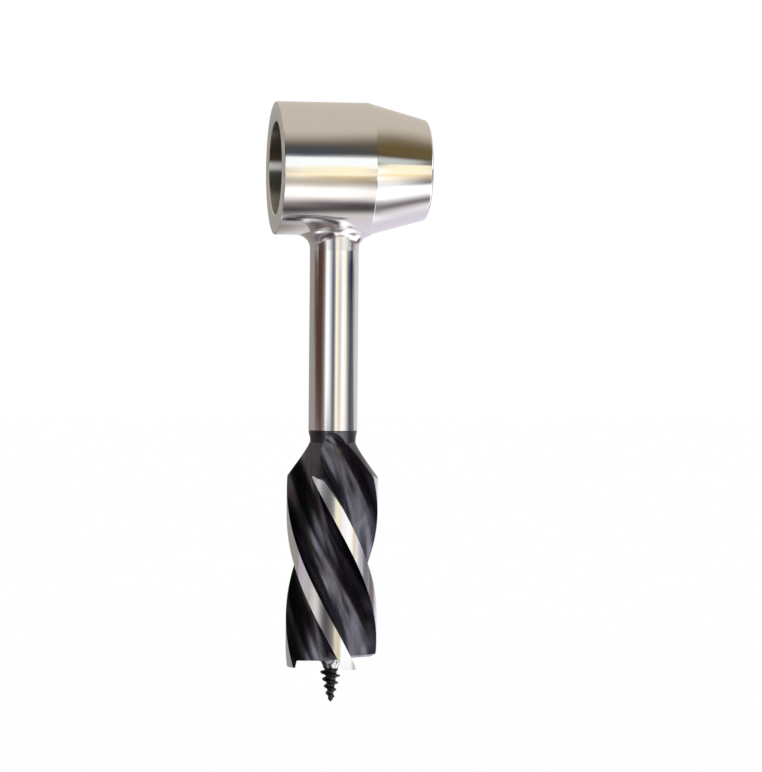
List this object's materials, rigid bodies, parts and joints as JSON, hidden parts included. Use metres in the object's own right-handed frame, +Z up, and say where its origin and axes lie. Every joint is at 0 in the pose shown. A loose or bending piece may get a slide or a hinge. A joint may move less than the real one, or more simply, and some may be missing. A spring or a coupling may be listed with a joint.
{
  "type": "scotch-eye hand auger",
  "caption": "Hand auger for boring wood by hand: an eye for a cross handle, a round steel shank, a fluted black bit with ground lands and a tapered lead screw.",
  "frame": {"origin": "where the axis of the eye's bore crosses the drilling axis", "axes": "+Z up along the drilling axis, away from the screw point; +X along the eye's bore, towards its tapered thin end"},
  "size_m": [0.0416, 0.0364, 0.1647],
  "materials": {
    "polished_steel": "stainless, fine turned and polished to a soft mirror",
    "ground_weld_steel": "weld ground smooth into a fillet",
    "turned_steel": "round bar, turned and polished",
    "black_oxide_steel": "black oxide over ground flutes, with bright ground lands",
    "black_oxide_screw": "black oxide, bright at the neck"
  },
  "bodies": {
    "root": {"eye_socket": "polished_steel", "eye_weld": "ground_weld_steel", "shank": "turned_steel", "auger_bit": "black_oxide_steel", "lead_screw": "black_oxide_screw"}
  },
  "joints": []
}
